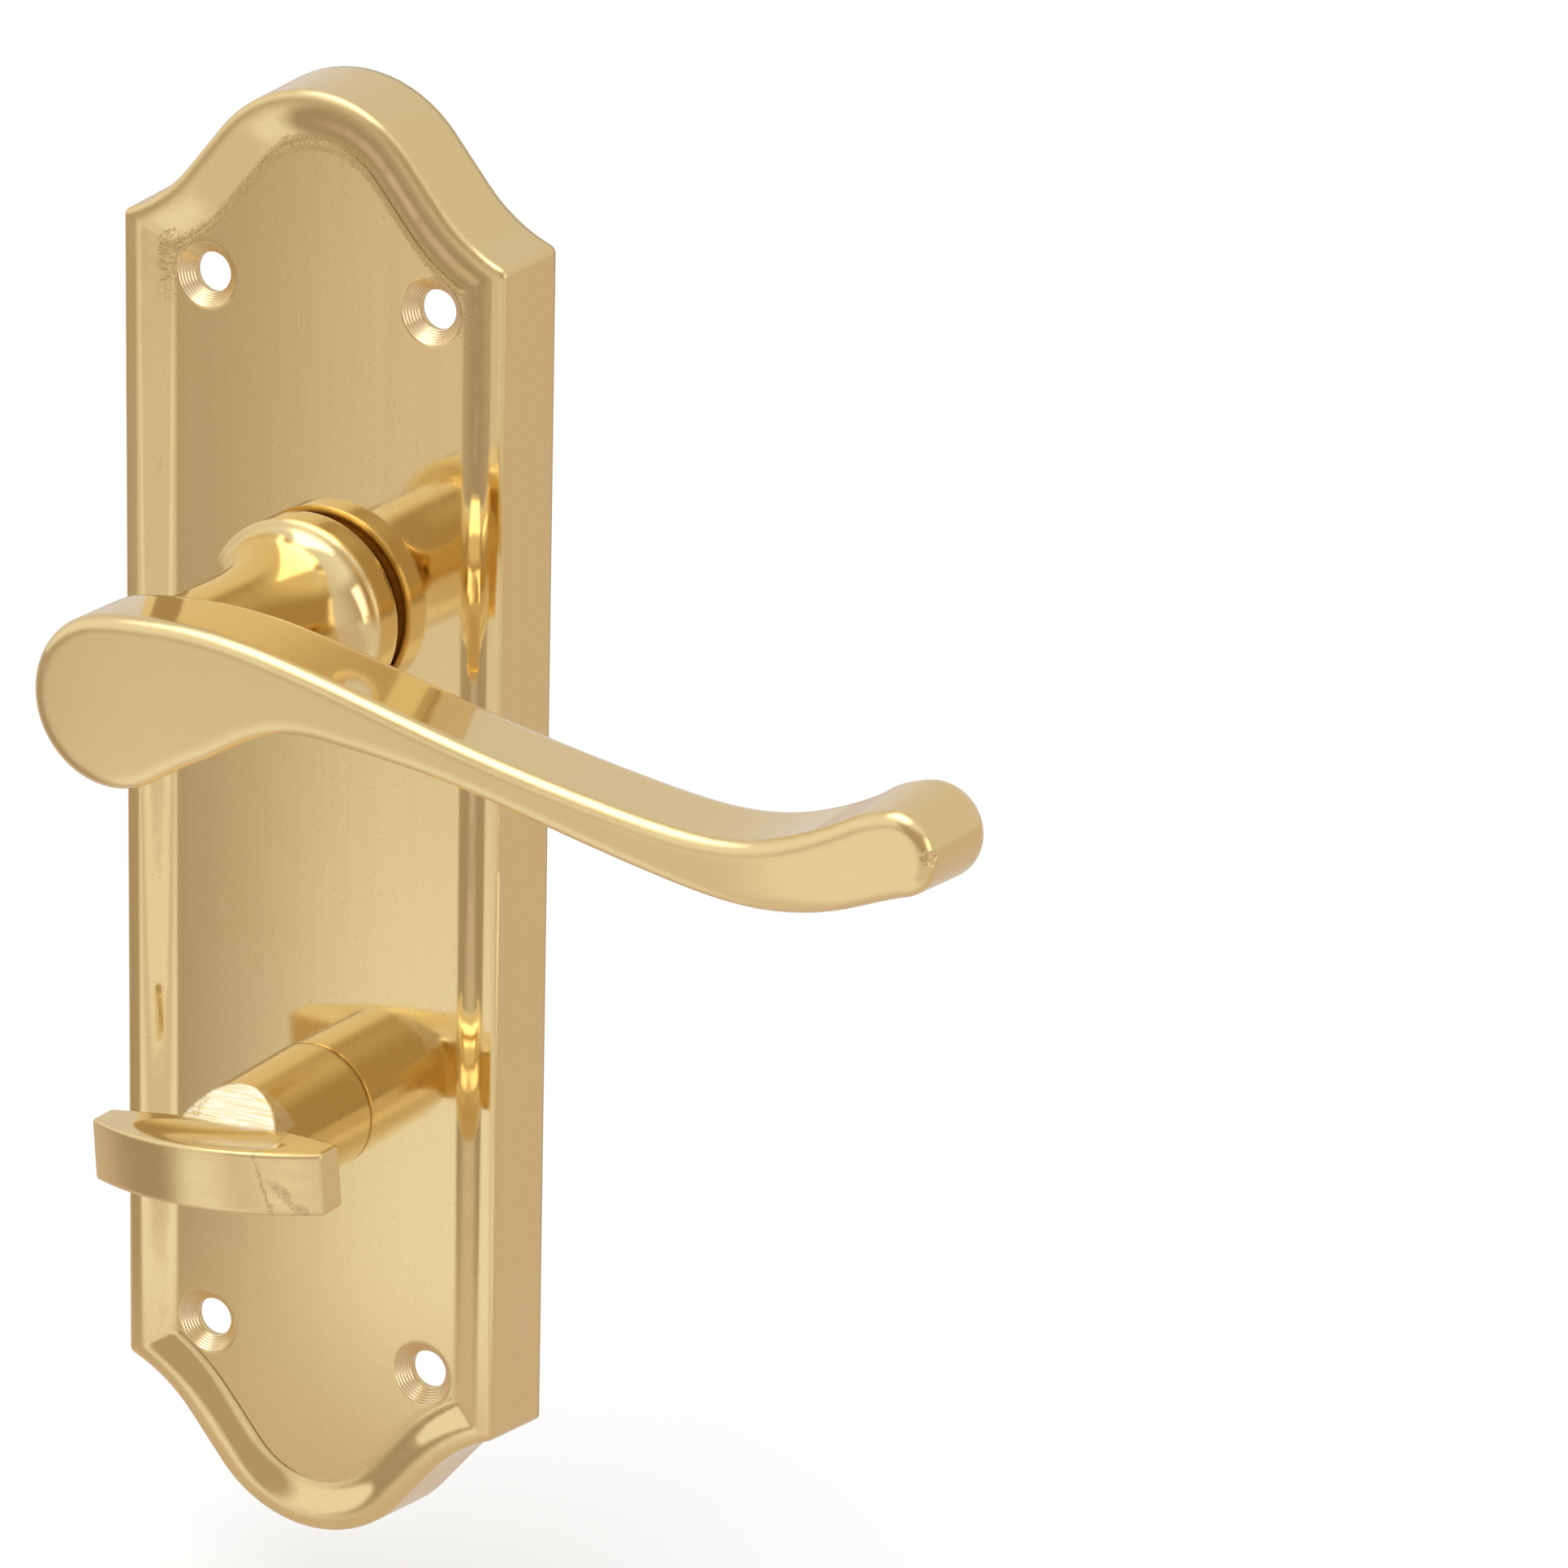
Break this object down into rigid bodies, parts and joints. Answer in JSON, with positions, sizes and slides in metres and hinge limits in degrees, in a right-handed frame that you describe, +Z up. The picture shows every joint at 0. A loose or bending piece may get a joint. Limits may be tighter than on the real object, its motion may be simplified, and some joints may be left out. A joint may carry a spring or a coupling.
{
  "type": "bathroom door handle",
  "caption": "Scroll lever and privacy thumbturn on a moulded backplate with arched ends, in polished brass, for one face of a bathroom door.",
  "frame": {"origin": "on the lever's spindle axis, in the plane of the door's face that the plate's back lies on", "axes": "+Z up along the backplate, +X along the lever towards its tip, +Y into the door, so the front faces -Y"},
  "size_m": [0.1203, 0.0484, 0.1648],
  "materials": {
    "plate_brass": "polished, finely brushed on the panel",
    "lever_brass": "polished",
    "turn_brass": "polished",
    "black_nylon": "moulded",
    "zinc_steel": "zinc plated",
    "spring_steel": "oiled"
  },
  "bodies": {
    "plate": {"backplate": "plate_brass", "lever_bush": "black_nylon", "turn_bush": "black_nylon", "anchor_plate": "zinc_steel", "anchor_pin": "zinc_steel", "push_washer_upper": "spring_steel", "push_washer_lower": "spring_steel", "return_spring": "spring_steel", "turn_wave_washer": "spring_steel"},
    "lever": {"lever": "lever_brass", "cam_plate": "zinc_steel", "cam_pin": "zinc_steel", "lever_circlip": "spring_steel"},
    "turn": {"thumbturn": "turn_brass", "turn_washer": "zinc_steel", "turn_circlip": "spring_steel"}
  },
  "joints": [
    {"name": "lever_press", "type": "hinge", "parent": "plate", "child": "lever", "pos_m": [0, 0, 0], "axis": [0, 1, 0], "range_deg": [0, 42], "stiffness_Nm_per_rad": 0.35, "springref_deg": -51.57, "deforming": ["return_spring"]},
    {"name": "thumbturn_turn", "type": "hinge", "parent": "plate", "child": "turn", "pos_m": [0, 0, -0.057], "axis": [0, 1, 0], "range_deg": [0, 90]}
  ]
}
